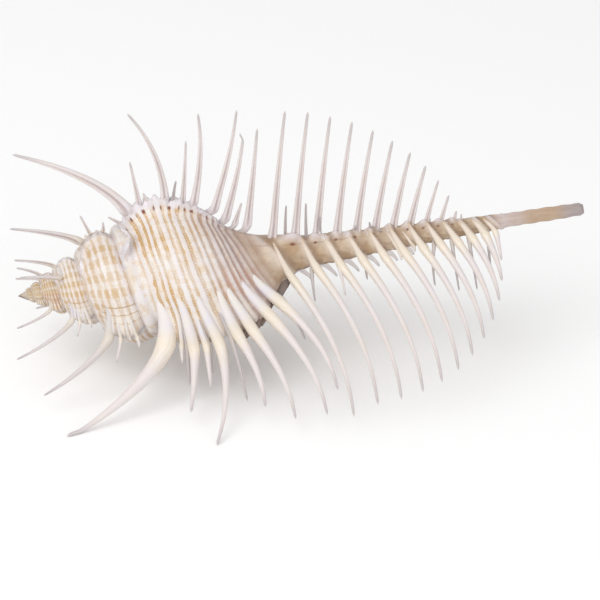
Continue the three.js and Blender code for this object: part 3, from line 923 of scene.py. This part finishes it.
old_spines_bunch = Bunch()
for old_turn, old_reach, old_lean in OLD_VARICES:
    old_list = [(35.0, old_reach, old_lean, 0.2, OLD_BIG)]
    add_varix_spines(old_spines_bunch, old_list + (OLD_SHORTS if old_turn >= OLD_SHORTS_FROM else []),
                     old_turn)
old_spines = old_spines_bunch.mesh("old_spines")

# %% [markdown]
# Colour first as groups. Shell is white porcelain with tan laid down in bands by the mantle, so the
# pattern belongs to the growth: it follows the cords and the grooves between them. Each group takes
# the growth values as named inputs and puts out one mask or height, which a material mixes in. One
# small class does the arithmetic on masks and lays colours over each other, as coats of paint.

# %% A painter for node trees
class Painter:
    """Works out masks in a node tree and lays colours over each other by them."""

    def __init__(self, tree):
        self.tree = tree
        self.colour = None

    def put(self, socket, value):
        """Link a value to a socket where the value is one too, and otherwise set it."""
        if isinstance(value, bpy.types.NodeSocket):
            self.tree.links.new(value, socket)
        else:
            socket.default_value = value

    def node(self, kind, inputs=None, **settings):
        """A node of a kind, its settings set and its inputs, by name or number, linked or set."""
        node = self.tree.nodes.new(kind)
        for key, value in settings.items():
            setattr(node, key, value)
        for key, value in (inputs or {}).items():
            self.put(node.inputs[key], value)
        return node

    def calc(self, operation, *values):
        """One step of arithmetic on numbers or sockets."""
        return self.node("ShaderNodeMath", dict(enumerate(values)), operation=operation).outputs[0]

    def times(self, *values):
        """All the values multiplied."""
        return reduce(partial(self.calc, "MULTIPLY"), values)

    def plus(self, *values):
        """All the values added."""
        return reduce(partial(self.calc, "ADD"), values)

    def less(self, value):
        """One less the value."""
        return self.calc("SUBTRACT", 1.0, value)

    def ramp(self, value, low, high):
        """A number mapped smoothly so that low gives zero and high gives one."""
        ends = {"Value": value, "From Min": low, "From Max": high}
        return self.node("ShaderNodeMapRange", ends, interpolation_type="SMOOTHSTEP").outputs["Result"]

    def window(self, value, low, high, soft):
        """One between low and high, zero outside, with soft shoulders."""
        rise = self.ramp(value, low - soft, low + soft)
        return self.times(rise, self.ramp(value, high + soft, high - soft))

    def sine(self, value, rate):
        """The sine of a value times a rate."""
        return self.calc("SINE", self.times(value, rate))

    def vector(self, *values):
        """A vector from three numbers or sockets."""
        return self.node("ShaderNodeCombineXYZ", dict(enumerate(values))).outputs["Vector"]

    def noise(self, scale, detail=3.0, vector=None):
        """Cloudy noise from zero to one, on object coordinates unless told otherwise."""
        vector = vector or self.node("ShaderNodeTexCoord").outputs["Object"]
        inputs = {"Vector": vector, "Scale": scale, "Detail": detail}
        return self.node("ShaderNodeTexNoise", inputs).outputs["Fac"]

    def attributes(self, *labels):
        """The attributes of the mesh that carry growth values, by their labels."""
        return [self.node("ShaderNodeAttribute", attribute_name=label).outputs["Fac"] for label in labels]

    def use(self, group, **inputs):
        """A group's outputs; its inputs are linked or set, with underscores for their spaces."""
        named = {key.replace("_", " "): value for key, value in inputs.items()}
        return self.node("ShaderNodeGroup", named, node_tree=group).outputs

    def mix(self, share, first, second):
        """Two colours mixed by a share from zero to one."""
        node = self.node("ShaderNodeMix", {"Factor": share}, data_type="RGBA")
        ends = [socket for socket in node.inputs if socket.type == "RGBA"]
        self.put(ends[0], first)
        self.put(ends[1], second)
        return [socket for socket in node.outputs if socket.type == "RGBA"][0]

    def lay(self, colour, *shares):
        """Lay a colour over what is there, by the product of the shares."""
        self.colour = self.mix(self.times(*shares), self.colour, colour)


def make_group(name, inputs, build):
    """A shader group with number inputs and the number outputs that build returns by name."""
    group = bpy.data.node_groups.new(name, "ShaderNodeTree")
    for label, value in inputs.items():
        socket = group.interface.new_socket(label, in_out="INPUT", socket_type="NodeSocketFloat")
        socket.default_value = value
    start = group.nodes.new("NodeGroupInput")
    results = build(Painter(group), {label: start.outputs[label] for label in inputs})
    for label in results:
        group.interface.new_socket(label, in_out="OUTPUT", socket_type="NodeSocketFloat")
    end = group.nodes.new("NodeGroupOutput")
    for label, socket in results.items():
        group.links.new(socket, end.inputs[label])
    print("group", name, "puts out", ", ".join(results))
    return group


# %% [markdown]
# The groups. Where the nearest varix lies is needed as degrees past it, as in the relief. The beads
# are the crossings of growth lines with the thread in each groove. Growth lines crowd and spread as
# the snail's pace did, so their rhythm is noise along the growth rather than an even wave.

# %% Shared pattern groups
BEADS_PER_TURN = 150.0


def build_varix_place(paint, inputs):
    """Degrees past the nearest varix, negative before it, as the relief counts them."""
    lead = paint.times(paint.ramp(inputs["Width"], LEAD_END, 0.0), SUTURE_LEAD / 360.0)
    phase = paint.times(paint.calc("SUBTRACT", inputs["Turn"], lead), float(VARICES))
    off = paint.calc("SUBTRACT", phase, paint.calc("ROUND", phase))
    return {"Past": paint.times(off, 360.0 / VARICES)}


def build_beads(paint, inputs):
    """Beads on the thread of a groove: a wave along the growth times the thread."""
    uneven = paint.times(paint.noise(160.0, 2.0), 9.0)
    shift = paint.plus(paint.times(inputs["Width"], 0.9), uneven)
    angle = paint.plus(paint.times(inputs["Turn"], 2 * math.pi * BEADS_PER_TURN), shift)
    return {"Beads": paint.times(paint.ramp(paint.calc("SINE", angle), -0.5, 0.9), inputs["Thread"])}


def build_growth_lines(paint, inputs):
    """Fine lines across the cords: noise that runs fast along the growth and slowly across it."""
    along = paint.times(inputs["Turn"], inputs["Lines Per Turn"])
    lines = paint.noise(1.0, 4.0, paint.vector(along, paint.times(inputs["Width"], 0.15), 0.0))
    return {"Height": lines, "Lines": paint.ramp(lines, 0.52, 0.66)}


def build_patches(paint, inputs):
    """Cloudy patches on the object: noise cut softly at a level."""
    cloud = paint.noise(inputs["Scale"])
    low = paint.calc("SUBTRACT", inputs["Level"], inputs["Softness"])
    return {"Mask": paint.ramp(cloud, low, paint.plus(inputs["Level"], inputs["Softness"]))}


VARIX_PLACE = make_group("varix_place", {"Turn": 0.0, "Width": 0.0}, build_varix_place)
BEADS = make_group("beaded_threads", {"Turn": 0.0, "Width": 0.0, "Thread": 0.5}, build_beads)
GROWTH_LINES = make_group("growth_lines", {"Turn": 0.0, "Width": 0.0, "Lines Per Turn": 260.0},
                          build_growth_lines)
PATCHES = make_group("cloudy_patches", {"Scale": 150.0, "Level": 0.5, "Softness": 0.1}, build_patches)

# %% [markdown]
# The colours are those of a clean dry shell. Every mask of the whorls starts from a few growth
# values and patterns, so these are worked out once a material and handed round by name.

# %% Colours and masks of the whorls
WHITE = (0.78, 0.73, 0.69, 1.0)
LILAC_WHITE = (0.75, 0.71, 0.76, 1.0)
CREAM = (0.81, 0.74, 0.64, 1.0)
TAN = (0.58, 0.36, 0.14, 1.0)
PALE_TAN = (0.70, 0.54, 0.37, 1.0)
OLD_GOLD = (0.60, 0.41, 0.20, 1.0)
MAUVE = (0.42, 0.31, 0.29, 1.0)
ROSE_BROWN = (0.56, 0.33, 0.24, 1.0)
BAR_BROWN = (0.50, 0.33, 0.18, 1.0)
CRUMPLE_GREY = (0.48, 0.41, 0.37, 1.0)
BEIGE = (0.44, 0.29, 0.16, 1.0)
LIGHT_BEIGE = (0.58, 0.45, 0.32, 1.0)
FOLD_CREAM = (0.74, 0.64, 0.55, 1.0)
TAIL_PINK = (0.60, 0.50, 0.49, 1.0)
TAIL_TAN = (0.48, 0.32, 0.18, 1.0)
WORN_GREY = (0.38, 0.33, 0.34, 1.0)
BROWN = (0.26, 0.16, 0.10, 1.0)
HOLLOW_SHADE_BROWN = (0.13, 0.085, 0.06, 1.0)
PIT = (0.22, 0.055, 0.022, 1.0)
GREY = (0.46, 0.42, 0.43, 1.0)
COAT = 0.12
COAT_ROUGHNESS = 0.3
SPIRE_EDGE = (-0.97, -1.03)
BASE_END = float(CANAL_WIDTH) - 13.0


def new_material(name, values):
    """A new material and its shader, with the shader's inputs set by name."""
    material = bpy.data.materials.new(name)
    material.use_nodes = True
    shader = material.node_tree.nodes["Principled BSDF"]
    for label, value in values.items():
        shader.inputs[label].default_value = value
    return material, shader


def new_finish(name, roughness):
    """A new material with a thin coat, a painter for its tree, and its shader."""
    coat = {"Roughness": roughness, "Coat Weight": COAT, "Coat Roughness": COAT_ROUGHNESS}
    material, shader = new_material(name, coat)
    return material, Painter(material.node_tree), shader


def link_bump(paint, shader, height, depth_mm):
    """Join a height from zero to one to the shader's normal, as a relief some way deep."""
    inputs = {"Height": height, "Distance": depth_mm * MM, "Strength": 1.0}
    paint.put(shader.inputs["Normal"], paint.node("ShaderNodeBump", inputs).outputs["Normal"])


def whorl_masks(paint):
    """The growth values and the patterns that the coats of the whorls share, by name."""
    m = SimpleNamespace()
    m.turn, m.width, m.crest, m.fold = paint.attributes("turn", "width", "cord", "fold")
    m.shade, m.inside, m.thread, m.knob_pit = paint.attributes("shade", "inside", "thread", "pit")
    m.cord = paint.plus(m.crest, paint.calc("SUBTRACT", paint.noise(620.0, 2.0), 0.5))
    m.past = paint.use(VARIX_PLACE, Turn=m.turn, Width=m.width)["Past"]
    m.beads = paint.use(BEADS, Turn=m.turn, Width=m.width, Thread=m.thread)["Beads"]
    m.lines = paint.use(GROWTH_LINES, Turn=m.turn, Width=m.width)
    m.clouds = paint.use(PATCHES, Scale=170.0, Level=0.5, Softness=0.12)["Mask"]
    m.flecks = paint.use(PATCHES, Scale=700.0, Level=0.56, Softness=0.06)["Mask"]
    m.breaks = paint.use(PATCHES, Scale=420.0, Level=0.46, Softness=0.1)["Mask"]
    m.minor = paint.ramp(paint.calc("COSINE", paint.times(m.width, math.pi / CORD_PITCH)), 0.2, -0.5)
    m.on_spire = paint.ramp(m.turn, *SPIRE_EDGE)
    whole_band = paint.ramp(m.width, BAND_END - 1.5, BAND_END + 1.5)
    m.banded = paint.calc("MAXIMUM", whole_band, m.on_spire)
    m.canal = paint.ramp(m.width, BASE_END, BASE_END + 9.0)
    return m


# %% [markdown]
# The finish of the whorls and the canal lays coats over each other from the oldest to the newest:
# white porcelain with tan in the grooves, the gold blocks and bars of the spire, the dusky base, the
# beige canal with its light folds and brown painted as shade beside them and under the lip's row,
# the smooth band of a varix, and the red-brown pits beside it; then painted shade in the hollows
# behind the lip.

# %% Finish of the whorls and the canal
BLOCKS_PER_TURN = 21
STRIPES_PER_TURN = 15
BARS_PER_TURN = 42
BLOCK_SECTOR = (14.0, 84.0, 6.0)
BAR_SECTOR = (82.0, 108.0, 4.0)
EARLY_TURNS = (-2.4, -3.0)
STAINED_TURNS = (-3.14, -3.02, 0.02)
FIRST_TURN = (-5.5, -6.0)
TAIL_COATS = ((108.0, 113.0, 0.65, TAIL_PINK), (115.0, 120.0, 0.6, TAIL_TAN),
              (124.0, 129.0, 0.65, WORN_GREY))


def lay_cords(paint, m):
    """White and lilac porcelain, hazy and flecked, with broken tan lines in the grooves."""
    mid = paint.times(paint.ramp(paint.calc("ABSOLUTE", m.past), 36.0, 58.0), 0.4)
    strength = paint.calc("SUBTRACT", paint.plus(0.8, paint.times(m.clouds, 0.4)), mid)
    near_varix = paint.times(paint.window(m.past, -20.0, 4.0, 8.0), 0.4)
    strength = paint.times(strength, paint.less(paint.times(m.on_spire, 0.5)), paint.less(near_varix))
    paler = paint.less(paint.plus(paint.times(m.beads, 0.65), paint.times(m.thread, 0.12)))
    broken = paint.plus(paint.times(paint.ramp(m.width, 16.0, 11.0), 0.25), 0.55,
                        paint.times(m.breaks, 0.45))
    lilac = paint.plus(paint.times(m.clouds, 0.4), paint.times(paint.less(m.minor), m.cord, 0.4))
    paint.colour = paint.mix(lilac, WHITE, LILAC_WHITE)
    paint.lay(PALE_TAN, m.flecks, paint.less(m.banded), 0.55)
    haze = paint.plus(paint.times(m.lines["Lines"], 0.35), paint.times(m.clouds, 0.3))
    paint.lay(PALE_TAN, haze, m.banded)
    paint.lay(PALE_TAN, m.minor, m.flecks, m.banded, 0.5)
    paint.lay(TAN, paint.ramp(m.cord, 0.5, 0.18), strength, paler, m.banded, broken)


def lay_spire(paint, m):
    """Gold blocks, a gold early spire with pale stripes and one stained stretch, and brown bars."""
    since = paint.calc("WRAP", m.past, 360.0 / VARICES, 0.0)
    blocks = paint.ramp(paint.sine(m.turn, 2 * math.pi * BLOCKS_PER_TURN), -0.55, 0.2)
    cloudy = paint.plus(0.45, paint.times(m.clouds, 0.35))
    paint.lay(OLD_GOLD, blocks, m.on_spire, paint.ramp(m.cord, 0.95, 0.65), cloudy,
              paint.window(since, *BLOCK_SECTOR), paint.less(paint.times(m.lines["Lines"], 0.5)))
    early = paint.ramp(m.turn, *EARLY_TURNS)
    paint.lay(OLD_GOLD, early, paint.less(paint.times(m.cord, 0.5)), 0.9)
    stripes = paint.ramp(paint.sine(m.turn, 2 * math.pi * STRIPES_PER_TURN), 0.35, 0.95)
    paint.lay(WHITE, stripes, early, 0.5)
    paint.lay(ROSE_BROWN, paint.window(m.turn, *STAINED_TURNS), paint.ramp(m.cord, 1.0, 0.4), 0.75)
    paint.lay(WHITE, paint.ramp(m.width, 3.0, 0.8), m.on_spire, paint.ramp(m.turn, -4.6, -4.2), 0.85)
    paint.lay(BROWN, paint.ramp(m.turn, *FIRST_TURN), 0.85)
    bars = paint.ramp(paint.sine(m.turn, 2 * math.pi * BARS_PER_TURN), 0.72, 0.95)
    paint.lay(BAR_BROWN, bars, m.on_spire, paint.window(since, *BAR_SECTOR), 0.8)


def lay_base(paint, m):
    """Cream before each varix, a dusky base between the cords, and grooves stained rose in patches."""
    before_varix = paint.window(m.past, -26.0, 2.0, 8.0)
    paint.lay(CREAM, before_varix, paint.ramp(m.width, 2.0, 5.0), 0.6, paint.ramp(m.cord, 0.1, 0.6))
    dusk = paint.ramp(m.width, float(SUTURE_WIDTH) - 3.0, BASE_END)
    fading = paint.ramp(m.width, BASE_END + 9.0, BASE_END - 1.0)
    paint.lay(MAUVE, dusk, paint.less(paint.times(m.cord, 0.3)),
              paint.less(paint.times(m.cord, fading, 0.6)))
    rose = paint.times(paint.window(m.width, 25.0, 35.0, 4.0), paint.window(m.past, -52.0, -26.0, 9.0))
    paint.lay(ROSE_BROWN, rose, paint.less(m.cord), 0.7)


def lay_canal(paint, m):
    """Cloudy beige, brown painted as shade under the lip's row, light folds with painted shade on their
    sides, and the worn tail.
    """
    ground = paint.mix(m.clouds, BEIGE, LIGHT_BEIGE)
    paint.lay(paint.mix(paint.times(m.breaks, 0.3), ground, BROWN), m.canal)
    # Painted shade: brown on the canal just past the lip's row, where its underside lies.
    paint.lay(BROWN, m.canal, paint.ramp(m.turn, -0.9, -0.97), 0.6)
    fold_colour = paint.mix(paint.ramp(m.turn, -0.29, -0.2), LILAC_WHITE, FOLD_CREAM)
    paint.lay(fold_colour, m.fold, 0.75)
    # Painted shade: a brown line on the steep side of each fold, and the seam line below the knobs.
    paint.lay(BROWN, m.shade, 0.7)
    for start, stop, share, coat in TAIL_COATS:
        reached = paint.ramp(m.width, float(width_of(start)), float(width_of(stop)))
        paint.lay(coat, reached, paint.plus(share, paint.times(m.breaks, 0.2)))


def lay_varices(paint, m):
    """The smooth band of each varix, grey where it crumples, and the pits, which are put out."""
    band = paint.times(paint.window(m.past, -4.0, CORDS_BACK - 0.6, 1.2), paint.ramp(m.width, 1.0, 3.0),
                       paint.ramp(m.width, BASE_END + 5.0, BASE_END - 1.0))
    dull = paint.times(m.breaks, paint.plus(0.35, paint.times(m.on_spire, 0.4)))
    band_colour = paint.mix(dull, LILAC_WHITE, CRUMPLE_GREY)
    paint.lay(band_colour, band, paint.ramp(m.turn, -0.004, -0.03), 0.85)
    # Pale tan in the recess just past each varix by the suture: partly the recess's own beige, partly
    # painted shade.
    paint.lay(PALE_TAN, paint.window(m.past, 8.0, 30.0, 6.0), paint.ramp(m.width, 5.0, 2.0), 0.5)
    edge = paint.window(m.past, CORDS_BACK - 0.6, CORDS_BACK + 0.8, 0.6)
    pits = paint.times(edge, paint.ramp(m.crest, 0.5, 0.2), m.banded,
                       paint.ramp(paint.sine(m.width, 2.1), -1.0, 0.2),
                       paint.ramp(m.width, BASE_END + 3.0, BASE_END - 7.0),
                       paint.ramp(m.turn, -1.0, -0.95))
    pits = paint.calc("MAXIMUM", pits, paint.times(paint.ramp(m.knob_pit, 0.3, 0.8), 0.85))
    paint.lay(PIT, pits)
    return pits


def whorl_finish(name):
    """All the coats of the whorls, then the mouth and the painted shade in the hollows behind the lip,
    then fine relief: beads, growth lines, grain.
    """
    material, paint, shader = new_finish(name, 0.42)
    m = whorl_masks(paint)
    lay_cords(paint, m)
    lay_spire(paint, m)
    lay_base(paint, m)
    lay_canal(paint, m)
    pits = lay_varices(paint, m)
    paint.lay(LILAC_WHITE, paint.ramp(m.inside, 0.0, 0.1))
    # Painted shade: near-black brown on the rim where the lip hollows between the spines' roots.
    paint.lay(HOLLOW_SHADE_BROWN, paint.ramp(m.inside, 0.0, 0.02), paint.ramp(m.shade, 0.02, 0.25), 0.92)
    paint.put(shader.inputs["Base Color"], paint.colour)

    height = paint.plus(paint.times(m.beads, paint.less(m.canal), 0.5), paint.times(m.lines["Height"], 0.7),
                        paint.times(paint.noise(1500.0, 2.0), 0.25),
                        paint.times(paint.noise(420.0), m.canal, 2.2))
    link_bump(paint, shader, paint.calc("SUBTRACT", height, paint.times(pits, 1.5)), 0.16)
    return material


for piece in (spire, body_whorl):
    piece.data.materials.append(whorl_finish(piece.name + "_finish"))
print("whorls painted in", len(body_whorl.active_material.node_tree.nodes), "nodes")

# %% [markdown]
# Spines are the same shell drawn out: cream or beige where they leave the whorl, then lilac-white,
# and worn to a dull grey at the tips. Fine fibres run along them, and the open groove is painted a
# darker mauve as its shade, fading towards the tip. Short ones that stand in the lee of others are
# painted grey all over as their shade; the spines of the spire are a little greyer.

# %% Finish of the spines
SPINE_STEM = (0.73, 0.68, 0.69, 1.0)
SPINE_GROOVE_SHADE = (0.46, 0.33, 0.31, 1.0)
DULL_GREY = (0.44, 0.40, 0.40, 1.0)


def spine_finish(name, root_colour, canal_colour, groove_shade_share):
    """Root to stem to tip by the share of the length, then fibres, painted shade in the groove, and
    grey: painted shade on spines in the lee of others, and a little grey on the old spines.
    """
    material, paint, shader = new_finish(name, 0.4)
    share, groove, rib, side, stain_and_shade, canal = paint.attributes(*SPINE_LABELS)
    fibre = paint.noise(2.4, 4.0, paint.vector(paint.times(side, 2.2), paint.times(share, 1.6), canal))
    rings = paint.noise(1.0, 3.0, paint.vector(paint.times(share, 26.0), side, 0.0))
    clouds = paint.use(PATCHES, Scale=220.0, Level=0.5, Softness=0.15)["Mask"]

    paint.colour = paint.mix(paint.ramp(share, 0.0, 0.3), root_colour, SPINE_STEM)
    paint.lay(PALE_TAN, paint.ramp(fibre, 0.42, 0.62), 0.35)
    paint.lay(CREAM, paint.ramp(rings, 0.5, 0.7), 0.2)
    rib_colour = paint.mix(canal, paint.mix(clouds, LILAC_WHITE, WHITE), canal_colour)
    rib_colour = paint.mix(paint.times(paint.ramp(rib, 0.55, 1.0), canal), rib_colour, LIGHT_BEIGE)
    paint.lay(rib_colour, paint.ramp(rib, 0.05, 0.5), 0.95)
    # Painted shade: the open groove is laid a darker mauve, most where the dent is deepest.
    paint.lay(SPINE_GROOVE_SHADE, paint.ramp(groove, 0.05, 0.4), groove_shade_share)
    paint.lay(GREY, paint.ramp(share, 0.7, 1.0), 0.6)
    # Painted shade: spines in the lee of others are greyed all over; the old spines are greyed a little.
    paint.lay(DULL_GREY, stain_and_shade, 0.7)
    paint.put(shader.inputs["Base Color"], paint.colour)
    height = paint.plus(paint.times(fibre, 0.8), paint.times(rings, 0.4))
    link_bump(paint, shader, height, 0.12)
    return material


FINISHES = ((lip_spines, CREAM, FOLD_CREAM, 0.4), (upper_spines, LILAC_WHITE, LILAC_WHITE, 0.32),
            (hidden_spines, CREAM, BEIGE, 0.5), (old_spines, CREAM, CREAM, 0.5))
for piece, root_colour, canal_colour, groove_shade_share in FINISHES:
    finish = spine_finish(piece.name + "_finish", root_colour, canal_colour, groove_shade_share)
    piece.data.materials.append(finish)
print("spines painted in", len(FINISHES), "finishes")

# %% [markdown]
# The photo was taken from above the table on a white ground, in soft light. The camera looks down
# by the rest turn, square to the shell's axis, so that both leave the shell's face towards it.

# %% Camera, floor and light
VIEW_MM = 138.0
LENS = 200.0
SENSOR = 36.0
AIM_ALONG = 64.9
AIM_DROP = 0.9
FLOOR_HALF = 4.0
FLOOR_HEIGHT = -0.0002
PALE = (0.96, 0.96, 0.96, 1.0)
DAYLIGHT = (1.0, 1.0, 1.0, 1.0)
SKY_STRENGTH = 0.7
LIGHTS = {"key_light": ((-0.4, -0.4, 0.75), 4.2, 0.8), "fill_light": ((0.5, -0.9, 0.4), 2.2, 1.0)}
MIDDLE = np.array([0.0, 0.0, 0.03])


def set_camera():
    """Aim at the middle of the shell, from so far that the view is as wide as the photo's."""
    screen_up = np.array([0.0, math.sin(REST_TURN), math.cos(REST_TURN)])
    aim = APEX + np.array([AIM_ALONG, 0.0, 0.0]) - AIM_DROP * screen_up
    distance = VIEW_MM * LENS / SENSOR
    spot = (aim + FACE * distance) * MM
    camera = add_object("photo_camera", bpy.data.cameras.new("photo_camera"))
    camera.data.lens = LENS
    camera.data.sensor_width = SENSOR
    camera.data.clip_start = 0.01
    camera.location = spot
    camera.rotation_euler = (math.pi / 2 - REST_TURN, 0.0, 0.0)
    bpy.context.scene.camera = camera
    print("camera", spot.round(3), "aims at", (aim * MM).round(4))


def make_floor(size, height):
    """A square floor, well past the view on every side."""
    corners = [(-size, -size, height), (size, -size, height), (size, size, height), (-size, size, height)]
    mesh = bpy.data.meshes.new("floor")
    mesh.from_pydata(corners, [], [(0, 1, 2, 3)])
    material, _ = new_material("pale_floor", {"Base Color": PALE, "Roughness": 0.8})
    mesh.materials.append(material)
    add_object("floor", mesh)


def area_light(name, spot, power, size):
    """A soft square light that faces the middle of the shell."""
    light = add_object(name, bpy.data.lights.new(name, "AREA"))
    light.data.energy = power
    light.data.size = size
    light.location = spot
    back = unit(np.array(spot) - MIDDLE)
    light.rotation_euler = (math.acos(back[2]), 0.0, math.atan2(back[1], back[0]) + math.pi / 2)
    print(name, "gives", power, "watts")


set_camera()
make_floor(FLOOR_HALF, FLOOR_HEIGHT)
for light_name, (spot, power, size) in LIGHTS.items():
    area_light(light_name, spot, power, size)
world = bpy.data.worlds.new("studio")
world.use_nodes = True
background = world.node_tree.nodes["Background"]
background.inputs["Color"].default_value = DAYLIGHT
background.inputs["Strength"].default_value = SKY_STRENGTH
bpy.context.scene.world = world
bpy.context.scene.view_settings.view_transform = "Standard"
